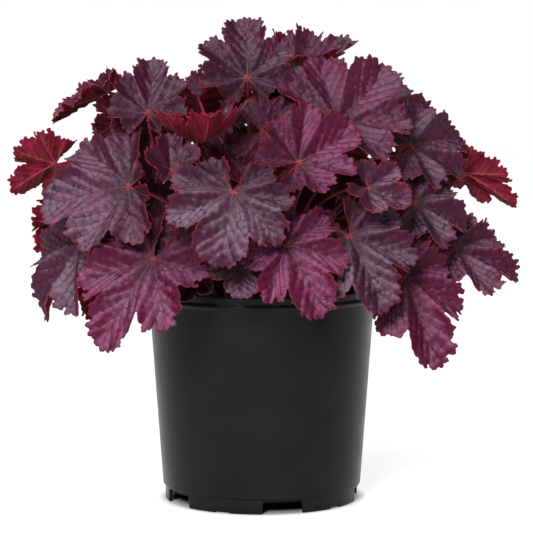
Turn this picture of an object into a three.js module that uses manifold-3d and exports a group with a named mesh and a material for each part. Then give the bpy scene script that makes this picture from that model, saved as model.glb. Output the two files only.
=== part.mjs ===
// A heuchera (coral bells) in a black plastic nursery pot: pot, potting mix, crown and one solid
// for each leaf with its petiole. Millimetres and degrees, +Z up. The origin is the centre of the
// pot's foot, on the ground. The plant's front is -Y.

import * as THREE from "three";
import { mergeVertices } from "three/addons/utils/BufferGeometryUtils.js";
import Module from "manifold-3d";

const wasm = await Module();
wasm.setup();

// ---- driving dimensions ----

const GAP = 0.3; // left between pieces that touch
const POT = {
  height: 171,
  rimRadius: 91,
  footRadius: 79.5, // wall's outer radius where it meets the foot
  footHeight: 12.5,
  footInset: 1.8,
  wall: 1.7,
  floor: 2.2,
  beadHeight: 163, // rolled bead under the lip
  beadRadius: 1.3,
  sides: 32,
};
const NOTCHES = { count: 5, firstAt: 12.5, width: 24, height: 9.4, slitWidth: 8, slitHeight: 1.8 };
const DRAIN = { radius: 5, ringRadius: 52 };
const MIX = { top: 157, crest: 161, sides: 32 };
const CROWN = { radius: 38, top: 171, depth: 9, sides: 12 };

const BLADE_THICKNESS = 0.8;
const PETIOLE = { radius: 1.5, sides: 4, steps: 4, hole: 2.5, holeSides: 4, sunk: 6, inset: 3.2 };
const SITE_SPACING = 7; // between petioles on the crown

const COLOURS = { pot: 0x1c1d1f, mix: 0x2a1a12, crown: 0x4a1a1c, dusky: 0x57414f, magenta: 0x6f2549 };

// ---- leaves ----

// Each leaf: where its blade joins the petiole (x, y, z); the way its upper side faces (azimuth from
// the front towards +X, elevation); the tip's angle in the blade from straight downhill; the length
// from that joint to the tip; width and size of the basal lobes (1 is usual); cup (margin lifted),
// fold (along the midrib) and droop (of the tip); flush (0 dusky purple to 1 magenta).
const LEAVES = [
  // x, y, z, azimuth, elevation, tip, length, width, base, cup, fold, droop, flush
  [-11, -58, 338, 0, 26, 180, 53, 1.0, 0.7, 0.08, 0.0, 0.2, 0.3], // top centre
  [27, 12, 347, 19, 71, 98, 49, 0.92, 0.8, 0.42, 0.3, 0.1, 0.35], // top right, behind, cupped
  [58, -85, 305, 6, 37, 139, 64, 1.12, 0.5, 0.08, 0.1, 0.1, 0.6], // top right
  [28, -122, 276, 8, 32, 121, 52, 1.0, 1, 0.15, 0.25, 0.2, 1.0], // centre, folded
  [-21, -148, 256, 0, 28, -12, 56, 1.2, 1, -0.1, 0.0, 0.2, 0.25], // centre front
  [18, -140, 216, 4, 28, 25, 60, 0.88, 0.8, 0.0, 0.05, 0.25, 1.0], // front, right of centre
  [-101, -92, 256, -18, 36, -76, 73, 1.02, 0.4, 0.0, 0.1, 0.25, 0.4], // left
  [-81, -118, 204, -14, 28, -25, 80, 0.78, 0.8, 0.0, 0.08, 0.25, 0.75], // front left, low
  [-138, -66, 213, -50, 30, -32, 76, 0.8, 1, -0.1, 0.1, 0.35, 0.3], // left, low
  [-161, -35, 271, 160, 35, 60, 49, 0.78, 1, 0.1, 0.25, 0.4, 0.8], // far left, top
  [-154, 18, 234, -125, 26, 12, 48, 1.0, 1, 0.1, 0.1, 0.2, 0.6], // far left, hanging
  [-122, -5, 326, -80, 62, 0, 50, 0.8, 0.8, 0.1, 0.35, 0.2, 0.7], // upper left, seen from below
  [-108, 37, 304, 150, 45, 65, 42, 0.8, 1, 0.1, 0.1, 0.4, 0.6], // upper left, under it
  [-88, -56, 311, -8, 40, 180, 50, 0.85, 0.8, 0.2, 0.1, 0.0, 0.3], // upper left
  [-48, -91, 292, 0, 74, 16, 48, 1.0, 1, 0.62, 0.3, -0.3, 0.5], // centre left, cupped
  [-67, -117, 270, 5, 30, 185, 28, 0.9, 0.7, 0.3, 0.5, 0.0, 0.35], // centre left, folded
  [116, -56, 285, 24, 34, 108, 57, 1.0, 1, -0.05, 0.1, 0.25, 0.35], // right
  [159, -25, 263, 170, 25, -56, 51, 0.52, 0.6, 0.15, 0.2, 0.2, 0.8], // far right, seen from below
  [118, -73, 242, 20, 34, 70, 50, 0.92, 1, -0.05, 0.1, 0.25, 0.35], // right, middle
  [150, -52, 206, 22, 34, 66, 62, 0.72, 1, 0.0, 0.1, 0.25, 0.55], // right, low
  [66, -118, 221, 8, 28, 22, 66, 0.9, 0.75, 0.0, 0.1, 0.25, 0.1], // front right
  [109, -92, 188, 14, 25, 17, 70, 0.8, 1.1, 0.0, 0.1, 0.25, 0.85], // front right, low
  [80, -122, 257, 10, 27, 60, 31, 0.9, 1, 0.3, 0.4, 0.2, 0.45], // right of centre, folded
  [-15, -122, 200, 0, 28, 0, 27, 1.2, 1, 0.1, 0.0, 0.1, 0.2], // small, front
  // the ones between and behind, seen in the gaps
  [-64, -104, 208, -5, 18, 130, 34, 0.9, 1, 0.1, 0.1, 0.1, 0.25],
  [-52, -97, 187, -10, 35, -20, 22, 1.1, 1, 0.1, 0.1, 0.1, 0.3],
  [92, 10, 314, 20, 50, 85, 50, 0.9, 1, 0.1, 0.1, 0.5, 0.3],
  [130, -7, 223, 122, 26, 0, 46, 0.9, 1, 0.1, 0.2, 0.1, 0.6],
  [-50, -30, 322, -160, 50, -20, 42, 1.0, 1, 0.2, 0.2, 0.2, 0.4],
  [10, -30, 312, 172, 53, -6, 40, 1.0, 1, 0.2, 0.2, 0.1, 0.5],
  [-138, -6, 196, -112, 28, 0, 46, 0.9, 1, 0.1, 0.2, 0.1, 0.7],
  [111, -3, 276, 96, 40, 10, 42, 1.0, 1, 0.1, 0.2, 0.2, 0.4],
  [-26, -62, 278, 4, 30, 31, 26, 1.0, 1, 0.2, 0.2, 0.2, 0.4],
  [28, -81, 228, 5, 40, -10, 25, 1.0, 1, 0.2, 0.1, 0.2, 0.3],
  [60, -60, 260, 15, 45, 45, 30, 1.0, 1, 0.2, 0.2, 0.2, 0.3],
  // over the crown, seen from above
  [-60, 26, 290, -130, 58, 10, 36, 1.0, 1, 0.1, 0.1, 0.2, 0.5],
  [47, 17, 306, 130, 62, 0, 35, 1.0, 1, 0.1, 0.1, 0.2, 0.4],
  [0, 52, 286, 180, 62, 15, 44, 1.0, 1, 0.1, 0.1, 0.2, 0.6],
];

// The back of the plant, which fills in evenly: tiers of leaves, each a count over a span of
// azimuths, alternately further out and in, at a height, with a blade length and elevation.
const BACK_SEED = 40;
const BACK_TIERS = [
  { count: 5, from: 110, to: 250, away: 130, stagger: 14, height: 202, length: 61, elevation: 30 },
  { count: 5, from: 98, to: 264, away: 116, stagger: 14, height: 262, length: 57, elevation: 38 },
  { count: 3, from: 114, to: 246, away: 82, stagger: 10, height: 319, length: 50, elevation: 54 },
];

// The last ones, inside the plant, where one could see right through it. Columns as in LEAVES.
const INNER_LEAVES = [
  [-37, 11, 321, -11, 15, -7, 40, 1.1, 1, 0.05, 0.0, 0.3, 0.5],
  [-82, -6, 250, 7, 24, -21, 38, 0.9, 1, 0.1, 0.1, 0.15, 0.3],
  [49, 1, 252, -32, 23, -97, 36, 1.05, 1, 0.1, 0.0, 0.3, 0.4],
  [32, -57, 319, -9, 18, -175, 34, 1.1, 1, 0, 0.1, 0.25, 0.3],
  [0, -75, 296, -6, 15, 66, 41, 1, 1, 0.05, 0, 0.2, 0.35],
  [-87, -31, 289, 15, 12, -52, 41, 1.05, 1, 0.15, 0.05, 0.25, 0.4],
];

// ---- random draws ----

// A small repeatable generator, one stream for each leaf.
function randomStream(seed) {
  let state = (seed * 2654435761 + 12345) >>> 0;
  return () => {
    state = (Math.imul(state, 1664525) + 1013904223) >>> 0;
    return state / 4294967296;
  };
}

// ---- solids ----

// A closed geometry as a manifold-3d solid.
function solidFrom(geometry) {
  const bare = geometry.clone();
  bare.deleteAttribute("normal");
  bare.deleteAttribute("uv");
  const merged = mergeVertices(bare, 1e-4);
  return new wasm.Manifold(
    new wasm.Mesh({
      numProp: 3,
      vertProperties: merged.attributes.position.array,
      triVerts: new Uint32Array(merged.index.array),
    }),
  );
}

function geometryFrom(solid) {
  const made = solid.getMesh();
  const geometry = new THREE.BufferGeometry();
  geometry.setAttribute("position", new THREE.BufferAttribute(made.vertProperties, 3));
  geometry.setIndex(new THREE.BufferAttribute(made.triVerts, 1));
  geometry.computeVertexNormals();
  return geometry;
}

// A profile of [radius, height] pairs turned about +Z.
function turned(profile, sides) {
  const lathe = new THREE.LatheGeometry(
    profile.map(([r, z]) => new THREE.Vector2(r, z)),
    sides,
  );
  lathe.rotateX(Math.PI / 2);
  return solidFrom(lathe);
}

// A block between two radii, centred on an angle, that cuts a ring right through.
function radialBlock(angle, inner, outer, widthDegrees, low, high) {
  const width = 2 * outer * Math.sin(THREE.MathUtils.degToRad(widthDegrees / 2));
  const block = new THREE.BoxGeometry(outer - inner, width, high - low);
  block.translate((inner + outer) / 2, 0, (low + high) / 2);
  block.rotateZ(THREE.MathUtils.degToRad(angle));
  return solidFrom(block);
}

function upright(radius, low, high, sides, x, y) {
  const cylinder = new THREE.CylinderGeometry(radius, radius, high - low, sides);
  cylinder.rotateX(Math.PI / 2);
  cylinder.translate(x, y, (low + high) / 2);
  return solidFrom(cylinder);
}

function roundSection(radius, sides) {
  const points = [];
  for (let i = 0; i < sides; i += 1) {
    const a = (i / sides) * 2 * Math.PI;
    points.push(new THREE.Vector2(radius * Math.cos(a), radius * Math.sin(a)));
  }
  return new THREE.Shape(points);
}

function tube(path, radius, sides, steps) {
  return solidFrom(
    new THREE.ExtrudeGeometry(roundSection(radius, sides), { steps, extrudePath: path }),
  );
}

// ---- pot ----

function makePot() {
  const { height, rimRadius, footRadius, footHeight, footInset, wall, floor, beadHeight, beadRadius } = POT;
  const footOuter = footRadius - footInset;
  const footInner = footOuter - wall - 1;
  const floorTop = footHeight + floor;
  const wallInner = (z) =>
    footRadius + ((rimRadius - footRadius) * (z - footHeight)) / (height - footHeight) - wall;
  const pot = turned(
    [
      [0, footHeight],
      [footInner, footHeight],
      [footInner, 0],
      [footOuter, 0],
      [footOuter, footHeight - 0.8],
      [footRadius, footHeight],
      [rimRadius - 1, beadHeight - 2 * beadRadius],
      [rimRadius - 0.6 + beadRadius, beadHeight - beadRadius * 0.7],
      [rimRadius - 0.6 + beadRadius, beadHeight + beadRadius * 0.5],
      [rimRadius - 0.4, beadHeight + 1.4 * beadRadius],
      [rimRadius, height - 0.8],
      [rimRadius - 0.8, height],
      [rimRadius - wall, height - 0.6],
      [wallInner(floorTop), floorTop],
      [0, floorTop],
    ],
    POT.sides,
  );
  const cuts = [];
  for (let i = 0; i < NOTCHES.count; i += 1) {
    const step = 360 / NOTCHES.count;
    const angle = NOTCHES.firstAt - 90 + i * step;
    cuts.push(radialBlock(angle, footInner - 8, footOuter + 8, NOTCHES.width, -5, NOTCHES.height));
    cuts.push(
      radialBlock(angle + step / 2, footInner - 8, footOuter + 8, NOTCHES.slitWidth, -5, NOTCHES.slitHeight),
    );
    const a = THREE.MathUtils.degToRad(angle);
    const [x, y] = [DRAIN.ringRadius * Math.cos(a), DRAIN.ringRadius * Math.sin(a)];
    cuts.push(upright(DRAIN.radius, footHeight - 5, floorTop + 5, 8, x, y));
  }
  cuts.push(upright(DRAIN.radius, footHeight - 5, floorTop + 5, 8, 0, 0));
  return cuts.reduce((solid, cut) => solid.subtract(cut), pot);
}

// ---- potting mix and crown ----

function makeMix() {
  const floorTop = POT.footHeight + POT.floor + GAP;
  const clearance = POT.wall + 2 * GAP + 0.2;
  const at = (z) =>
    POT.footRadius +
    ((POT.rimRadius - POT.footRadius) * (z - POT.footHeight)) / (POT.height - POT.footHeight) -
    clearance;
  const seat = CROWN.radius + GAP;
  return turned(
    [
      [0, floorTop],
      [at(floorTop), floorTop],
      [at(MIX.top), MIX.top],
      [seat, MIX.crest],
      [seat, MIX.crest - CROWN.depth - GAP],
      [0, MIX.crest - CROWN.depth - GAP],
    ],
    MIX.sides,
  );
}

function crownHeight(radius) {
  const share = Math.min(1, radius / CROWN.radius);
  return CROWN.top - (CROWN.top - MIX.crest) * share * share;
}

function makeCrown(holes) {
  const profile = [[0, MIX.crest - CROWN.depth], [CROWN.radius, MIX.crest - CROWN.depth]];
  for (const share of [1, 0.6, 0]) {
    profile.push([CROWN.radius * share, crownHeight(CROWN.radius * share)]);
  }
  return holes.reduce((solid, hole) => solid.subtract(hole), turned(profile, CROWN.sides));
}

// ---- leaf outline ----

const LOBES = {
  edges: [-166, -116, -71, -28, 28, 71, 116, 166], // degrees from the tip
  lengths: [0.6, 0.7, 0.83, 1, 0.83, 0.7, 0.6],
  notches: [0.36, 0.5, 0.58, 0.63, 0.63, 0.58, 0.5, 0.36],
};
const YOUNG = {
  below: 43, // a shorter blade has five lobes
  edges: [-160, -98, -36, 36, 98, 160],
  lengths: [0.66, 0.84, 1, 0.84, 0.66],
  notches: [0.42, 0.56, 0.64, 0.64, 0.56, 0.42],
};
const TEETH = [
  { at: -1, reach: 1 },
  { at: -0.62, reach: 1.07 },
  { at: -0.32, reach: 0.92 },
  { at: 0, reach: 1.02 },
  { at: 0.32, reach: 0.92 },
  { at: 0.62, reach: 1.07 },
]; // place in the lobe, share of the smooth outline

function leafShape(seed, length, base) {
  const random = randomStream(seed);
  const plan = length < YOUNG.below ? YOUNG : LOBES;
  const jittered = (values, amount) => values.map((v) => v + (random() * 2 - 1) * amount);
  const sized = (values) => values.map((v, i, all) => (i === 0 || i === all.length - 1 ? v * base : v));
  return {
    edges: jittered(plan.edges, 4),
    lengths: jittered(sized(plan.lengths), 0.05),
    notches: jittered(sized(plan.notches), 0.04),
    waves: [2, 3].map((turns) => ({ turns, height: 0.05 * random(), phase: 2 * Math.PI * random() })),
  };
}

// The smooth outline's radius at a place (-1 to 1) in a lobe, as a share of the leaf's length.
function lobeRadius(shape, lobe, place) {
  const end = place < 0 ? shape.notches[lobe] : shape.notches[lobe + 1];
  return shape.lengths[lobe] + (end - shape.lengths[lobe]) * place * place;
}

// ---- leaf surface ----

const PLEAT = 0.035; // depth of the lobes' fold, as a share of the length
const RING = 0.58; // inner ring's place between the joint and the margin

function bent(along, up, curl) {
  if (Math.abs(curl) < 1e-6) return [along, up];
  const a = curl * along;
  return [Math.sin(a) / curl + up * Math.sin(a), up * Math.cos(a) - (1 - Math.cos(a)) / curl];
}

// A point of the blade's middle surface in leaf lengths: x across, y to the tip, z up.
function bladePoint(leaf, degrees, radius, share, lobePlace) {
  const a = THREE.MathUtils.degToRad(degrees);
  const x = radius * Math.sin(a) * leaf.width;
  const y = radius * Math.cos(a);
  let z = leaf.cup * radius * radius + leaf.fold * Math.abs(x);
  z -= PLEAT * share * Math.cos(Math.PI * lobePlace);
  for (const { height, turns, phase } of leaf.shape.waves) {
    z += height * share * share * Math.sin(turns * a + phase);
  }
  const curl = y > 0 ? leaf.droop : leaf.droop * 0.5;
  const [ny, nz] = bent(y, z, curl);
  return [x, ny, nz];
}

// The leaf's own axes in the plant: across, to the tip, out of the upper side.
function leafAxes({ azimuth, elevation, tip }) {
  const [az, el, turn] = [azimuth, elevation, tip].map(THREE.MathUtils.degToRad);
  const normal = new THREE.Vector3(
    Math.sin(az) * Math.cos(el),
    -Math.cos(az) * Math.cos(el),
    Math.sin(el),
  );
  const downhill = new THREE.Vector3(
    Math.sin(az) * Math.sin(el),
    -Math.cos(az) * Math.sin(el),
    -Math.cos(el),
  );
  const level = new THREE.Vector3(Math.cos(az), Math.sin(az), 0);
  const toTip = downhill.multiplyScalar(Math.cos(turn)).addScaledVector(level, Math.sin(turn));
  const across = new THREE.Vector3().crossVectors(toTip, normal);
  return { across, toTip, normal };
}

function backRows() {
  const random = randomStream(BACK_SEED);
  const about = (value, amount) => value + (random() * 2 - 1) * amount;
  return BACK_TIERS.flatMap((tier) =>
    Array.from({ length: tier.count }, (_, i) => {
      const step = (tier.to - tier.from) / tier.count;
      const azimuth = tier.from + (i + 0.5) * step + about(0, 4);
      const a = THREE.MathUtils.degToRad(azimuth);
      const stagger = (i % 2 ? -1 : 1) * tier.stagger;
      const away = about(tier.away, 3) + stagger;
      return [
        away * Math.sin(a),
        -away * Math.cos(a),
        about(tier.height, 4) - stagger,
        azimuth,
        about(tier.elevation, 6),
        about(0, 25),
        about(tier.length, 2),
        about(1, 0.08),
        1,
        about(0.05, 0.08),
        about(0.08, 0.06),
        about(0.3, 0.1),
        about(0.5, 0.4),
      ];
    }),
  );
}

function makeLeafRecord(row, index) {
  const [x, y, z, azimuth, elevation, tip, length, width, base, cup, fold, droop, flush] = row;
  const leaf = { azimuth, elevation, tip, length, width, cup, fold, droop, flush };
  leaf.at = new THREE.Vector3(x, y, z);
  leaf.shape = leafShape(index + 1, length, base);
  leaf.axes = leafAxes(leaf);
  return leaf;
}

// The blade: a fan from the joint to an inner ring and on to the toothed margin, the same on both
// faces, with a wall round the margin and along both sides of the sinus.
function makeBlade(leaf) {
  const { shape, axes, length } = leaf;
  const points = [];
  const place = (degrees, radius, share, lobePlace) => {
    const [px, py, pz] = bladePoint(leaf, degrees, radius, share, lobePlace);
    points.push(
      leaf.at
        .clone()
        .addScaledVector(axes.across, px * length)
        .addScaledVector(axes.toTip, py * length)
        .addScaledVector(axes.normal, pz * length),
    );
    return points.length - 1;
  };
  const inner = [];
  const margin = [];
  const spoke = (lobe, at, reach) => {
    const middle = (shape.edges[lobe] + shape.edges[lobe + 1]) / 2;
    const half = (shape.edges[lobe + 1] - shape.edges[lobe]) / 2;
    const radius = lobeRadius(shape, lobe, at) * reach;
    const end = at === 1 || (at === -1 && lobe === 0);
    margin.push(place(middle + at * half, radius, 1, at));
    if (at === 0 || end) {
      inner.push({ at: place(middle + at * half, radius * RING, RING, at), rim: margin.length - 1 });
    }
  };
  const lobes = shape.lengths.length;
  for (let lobe = 0; lobe < lobes; lobe += 1) {
    for (const { at, reach } of TEETH) spoke(lobe, at, reach);
  }
  spoke(lobes - 1, 1, 1);
  const joint = place(0, 0, 0, 0);
  const faces = [];
  for (let i = 0; i + 1 < inner.length; i += 1) {
    const [here, next] = [inner[i], inner[i + 1]];
    const turn = Math.floor((here.rim + next.rim) / 2);
    faces.push([joint, next.at, here.at], [here.at, next.at, margin[turn]]);
    for (let m = here.rim; m < next.rim; m += 1) {
      faces.push([m < turn ? here.at : next.at, margin[m + 1], margin[m]]);
    }
  }
  const boundary = [joint, inner[0].at, ...margin, inner[inner.length - 1].at];
  return shellFrom(points, faces, boundary, BLADE_THICKNESS);
}

// A closed solid from a sheet: its faces on both sides of the middle surface, and a wall round it.
function shellFrom(points, faces, boundary, thickness) {
  const normals = points.map(() => new THREE.Vector3());
  for (const [a, b, c] of faces) {
    const ab = points[b].clone().sub(points[a]);
    const ac = points[c].clone().sub(points[a]);
    const normal = ab.cross(ac);
    for (const i of [a, b, c]) normals[i].add(normal);
  }
  const positions = [];
  for (const side of [0.5, -0.5]) {
    points.forEach((p, i) => {
      const q = p.clone().addScaledVector(normals[i].clone().normalize(), side * thickness);
      positions.push(q.x, q.y, q.z);
    });
  }
  const n = points.length;
  const index = [];
  for (const [a, b, c] of faces) index.push(a, b, c, c + n, b + n, a + n);
  boundary.forEach((a, i) => {
    const b = boundary[(i + 1) % boundary.length];
    index.push(a, b, b + n, a, b + n, a + n);
  });
  const geometry = new THREE.BufferGeometry();
  geometry.setAttribute("position", new THREE.Float32BufferAttribute(positions, 3));
  geometry.setIndex(index);
  return solidFrom(geometry);
}

// ---- petioles ----

// Places on the crown where petioles can stand: a triangular grid.
function crownSites() {
  const sites = [];
  const rows = Math.ceil(CROWN.radius / SITE_SPACING) + 1;
  for (let row = -rows; row <= rows; row += 1) {
    for (let column = -rows; column <= rows; column += 1) {
      const x = (column + (row % 2 === 0 ? 0 : 0.5)) * SITE_SPACING;
      const y = row * SITE_SPACING * Math.sqrt(0.75);
      if (Math.hypot(x, y) < CROWN.radius - 4) sites.push([x, y]);
    }
  }
  return sites;
}

// Outer leaves stand at the crown's edge and upper ones near its middle, on the nearest free site.
function takeSite(sites, at) {
  const away = Math.hypot(at.x, at.y);
  const lean = Math.atan2(away, at.z - MIX.crest);
  const wanted = CROWN.radius * Math.min(1, 0.9 * Math.sin(lean / 2) * Math.SQRT2);
  const [wx, wy] = [(at.x / away) * wanted, (at.y / away) * wanted];
  let best = 0;
  sites.forEach(([x, y], i) => {
    if (Math.hypot(x - wx, y - wy) < Math.hypot(sites[best][0] - wx, sites[best][1] - wy)) best = i;
  });
  return { site: sites.splice(best, 1)[0], lean };
}

function petiolePath(leaf, sites) {
  const { site, lean } = takeSite(sites, leaf.at);
  const [x, y] = site;
  const start = new THREE.Vector3(x, y, crownHeight(Math.hypot(x, y)) - PETIOLE.sunk);
  const outward = new THREE.Vector3(leaf.at.x, leaf.at.y, 0).normalize();
  const reach = leaf.at.distanceTo(start);
  const first = outward.multiplyScalar(Math.sin(lean * 0.45)).setZ(Math.cos(lean * 0.45));
  const arrival = leaf.axes.normal.clone().multiplyScalar(0.5).addScaledVector(leaf.axes.toTip, 0.6);
  arrival.normalize();
  const end = leaf.at.clone().addScaledVector(leaf.axes.toTip, PETIOLE.inset);
  return new THREE.CubicBezierCurve3(
    start,
    start.clone().addScaledVector(first, reach * 0.4),
    end.clone().addScaledVector(arrival, -reach * 0.3),
    end,
  );
}

function petioleHole(path) {
  const [p0, p1] = path.getSpacedPoints(PETIOLE.steps);
  const along = p1.clone().sub(p0).normalize();
  const hole = new THREE.LineCurve3(
    p0.clone().addScaledVector(along, -2 * GAP),
    p0.clone().addScaledVector(along, 4 * PETIOLE.sunk),
  );
  return tube(hole, PETIOLE.hole, PETIOLE.holeSides, 1);
}

// ---- the plant ----

const plant = new THREE.Group();

function addNode(name, solid, color, roughness) {
  const material = new THREE.MeshStandardMaterial({ color, roughness, metalness: 0 });
  const mesh = new THREE.Mesh(geometryFrom(solid), material);
  mesh.name = name;
  plant.add(mesh);
}

const leaves = [...LEAVES, ...backRows(), ...INNER_LEAVES].map(makeLeafRecord);
const sites = crownSites();
const holes = [];

addNode("pot", makePot(), COLOURS.pot, 0.5);
addNode("potting_mix", makeMix(), COLOURS.mix, 1);
leaves.forEach((leaf, i) => {
  const path = petiolePath(leaf, sites);
  holes.push(petioleHole(path));
  const petiole = tube(path, PETIOLE.radius, PETIOLE.sides, PETIOLE.steps);
  const colour = new THREE.Color(COLOURS.dusky).lerp(new THREE.Color(COLOURS.magenta), leaf.flush);
  addNode(`leaf_${String(i + 1).padStart(2, "0")}`, makeBlade(leaf).add(petiole), colour, 0.55);
});
addNode("crown", makeCrown(holes), COLOURS.crown, 0.9);

export default plant;
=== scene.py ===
"""The heuchera in its nursery pot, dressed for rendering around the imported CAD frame.

Every leaf keeps the place, turn, size, lobes and bend of its solid and gets a toothed, puckered
and veined blade. The pot, the potting mix and the crown are made finer the same way. Tables are in
millimetres and degrees, meshes in metres. +Z is up and the plant's front is -Y.
"""

import math

import bpy
import numpy as np
from mathutils import Matrix, Vector
from mathutils.geometry import delaunay_2d_cdt


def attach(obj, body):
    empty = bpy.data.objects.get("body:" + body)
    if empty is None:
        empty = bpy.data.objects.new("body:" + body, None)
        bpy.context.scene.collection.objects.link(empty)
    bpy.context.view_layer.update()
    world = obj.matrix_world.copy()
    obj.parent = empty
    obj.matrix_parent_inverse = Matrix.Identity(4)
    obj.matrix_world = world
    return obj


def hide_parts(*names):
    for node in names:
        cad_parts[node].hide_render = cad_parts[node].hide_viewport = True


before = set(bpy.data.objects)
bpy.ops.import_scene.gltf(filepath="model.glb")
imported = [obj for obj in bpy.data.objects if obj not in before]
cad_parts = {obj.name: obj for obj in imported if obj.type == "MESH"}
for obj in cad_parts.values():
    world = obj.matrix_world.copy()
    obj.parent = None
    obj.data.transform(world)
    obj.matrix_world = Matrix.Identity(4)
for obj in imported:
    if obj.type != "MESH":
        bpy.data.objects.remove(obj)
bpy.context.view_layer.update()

MM = 0.001
TINY, FAR = 1e-12, 1e9
FULL_TURN = 2 * math.pi

# ---- driving dimensions, as in the part ----

POT_HEIGHT = 171
POT_RIM_RADIUS = 91
FOOT_RADIUS = 79.5
FOOT_HEIGHT = 12.5
FOOT_INSET = 1.8
POT_WALL = 1.7
POT_FLOOR = 2.2
BEAD_HEIGHT = 163
BEAD_RADIUS = 1.3
NOTCH_COUNT = 5
NOTCH_FIRST = 12.5
NOTCH_WIDTH = 24
NOTCH_HEIGHT = 9.4
SLIT_WIDTH = 8
SLIT_HEIGHT = 1.8
CUT_SIDE = np.linspace(-0.55, 0.55, 9)  # degrees over which a notch's side is rounded
DRAIN_RADIUS = 5
DRAIN_RING = 52
MIX_TOP = 157
MIX_CREST = 161
CROWN_RADIUS = 38
CROWN_TOP = 171
CROWN_DEPTH = 9
GAP = 0.3
PETIOLE_RADIUS = 1.5
PETIOLE_SUNK = 6
STALK_STEPS, STALK_SIDES = 34, 12
OFF_STALK = [0.3, 0.9, 0.2]  # a way that no stalk runs
SITE_SPACING = 7
BARK_CHIPS = 620

# ---- leaves, as in the part ----

# Each leaf: where its blade joins the petiole (x, y, z); the way its upper side faces (azimuth from
# the front towards +X, elevation); the tip's angle in the blade from straight downhill; the length
# from that joint to the tip; width and size of the basal lobes (1 is usual); cup (margin lifted),
# fold (along the midrib) and droop (of the tip); flush (0 dusky purple to 1 magenta).
LEAVES = [
    # x, y, z, azimuth, elevation, tip, length, width, base, cup, fold, droop, flush
    [-11, -58, 338, 0, 26, 180, 53, 1, 0.7, 0.08, 0, 0.2, 0.3],  # top centre
    [27, 12, 347, 19, 71, 98, 49, 0.92, 0.8, 0.42, 0.3, 0.1, 0.35],  # top right, behind, cupped
    [58, -85, 305, 6, 37, 139, 64, 1.12, 0.5, 0.08, 0.1, 0.1, 0.6],  # top right
    [28, -122, 276, 8, 32, 121, 52, 1, 1, 0.15, 0.25, 0.2, 1],  # centre, folded
    [-21, -148, 256, 0, 28, -12, 56, 1.2, 1, -0.1, 0, 0.2, 0.25],  # centre front
    [18, -140, 216, 4, 28, 25, 60, 0.88, 0.8, 0, 0.05, 0.25, 1],  # front, right of centre
    [-101, -92, 256, -18, 36, -76, 73, 1.02, 0.4, 0, 0.1, 0.25, 0.4],  # left
    [-81, -118, 204, -14, 28, -25, 80, 0.78, 0.8, 0, 0.08, 0.25, 0.75],  # front left, low
    [-138, -66, 213, -50, 30, -32, 76, 0.8, 1, -0.1, 0.1, 0.35, 0.3],  # left, low
    [-161, -35, 271, 160, 35, 60, 49, 0.78, 1, 0.1, 0.25, 0.4, 0.8],  # far left, top
    [-154, 18, 234, -125, 26, 12, 48, 1, 1, 0.1, 0.1, 0.2, 0.6],  # far left, hanging
    [-122, -5, 326, -80, 62, 0, 50, 0.8, 0.8, 0.1, 0.35, 0.2, 0.7],  # upper left, seen from below
    [-108, 37, 304, 150, 45, 65, 42, 0.8, 1, 0.1, 0.1, 0.4, 0.6],  # upper left, under it
    [-88, -56, 311, -8, 40, 180, 50, 0.85, 0.8, 0.2, 0.1, 0, 0.3],  # upper left
    [-48, -91, 292, 0, 74, 16, 48, 1, 1, 0.62, 0.3, -0.3, 0.5],  # centre left, cupped
    [-67, -117, 270, 5, 30, 185, 28, 0.9, 0.7, 0.3, 0.5, 0, 0.35],  # centre left, folded
    [116, -56, 285, 24, 34, 108, 57, 1, 1, -0.05, 0.1, 0.25, 0.35],  # right
    [159, -25, 263, 170, 25, -56, 51, 0.52, 0.6, 0.15, 0.2, 0.2, 0.8],  # far right, seen from below
    [118, -73, 242, 20, 34, 70, 50, 0.92, 1, -0.05, 0.1, 0.25, 0.35],  # right, middle
    [150, -52, 206, 22, 34, 66, 62, 0.72, 1, 0, 0.1, 0.25, 0.55],  # right, low
    [66, -118, 221, 8, 28, 22, 66, 0.9, 0.75, 0, 0.1, 0.25, 0.1],  # front right
    [109, -92, 188, 14, 25, 17, 70, 0.8, 1.1, 0, 0.1, 0.25, 0.85],  # front right, low
    [80, -122, 257, 10, 27, 60, 31, 0.9, 1, 0.3, 0.4, 0.2, 0.45],  # right of centre, folded
    [-15, -122, 200, 0, 28, 0, 27, 1.2, 1, 0.1, 0, 0.1, 0.2],  # small, front
    # the ones between and behind, seen in the gaps
    [-64, -104, 208, -5, 18, 130, 34, 0.9, 1, 0.1, 0.1, 0.1, 0.25],
    [-52, -97, 187, -10, 35, -20, 22, 1.1, 1, 0.1, 0.1, 0.1, 0.3],
    [92, 10, 314, 20, 50, 85, 50, 0.9, 1, 0.1, 0.1, 0.5, 0.3],
    [130, -7, 223, 122, 26, 0, 46, 0.9, 1, 0.1, 0.2, 0.1, 0.6],
    [-50, -30, 322, -160, 50, -20, 42, 1, 1, 0.2, 0.2, 0.2, 0.4],
    [10, -30, 312, 172, 53, -6, 40, 1, 1, 0.2, 0.2, 0.1, 0.5],
    [-138, -6, 196, -112, 28, 0, 46, 0.9, 1, 0.1, 0.2, 0.1, 0.7],
    [111, -3, 276, 96, 40, 10, 42, 1, 1, 0.1, 0.2, 0.2, 0.4],
    [-26, -62, 278, 4, 30, 31, 26, 1, 1, 0.2, 0.2, 0.2, 0.4],
    [28, -81, 228, 5, 40, -10, 25, 1, 1, 0.2, 0.1, 0.2, 0.3],
    [60, -60, 260, 15, 45, 45, 30, 1, 1, 0.2, 0.2, 0.2, 0.3],
    # over the crown, seen from above
    [-60, 26, 290, -130, 58, 10, 36, 1, 1, 0.1, 0.1, 0.2, 0.5],
    [47, 17, 306, 130, 62, 0, 35, 1, 1, 0.1, 0.1, 0.2, 0.4],
    [0, 52, 286, 180, 62, 15, 44, 1, 1, 0.1, 0.1, 0.2, 0.6],
]

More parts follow.
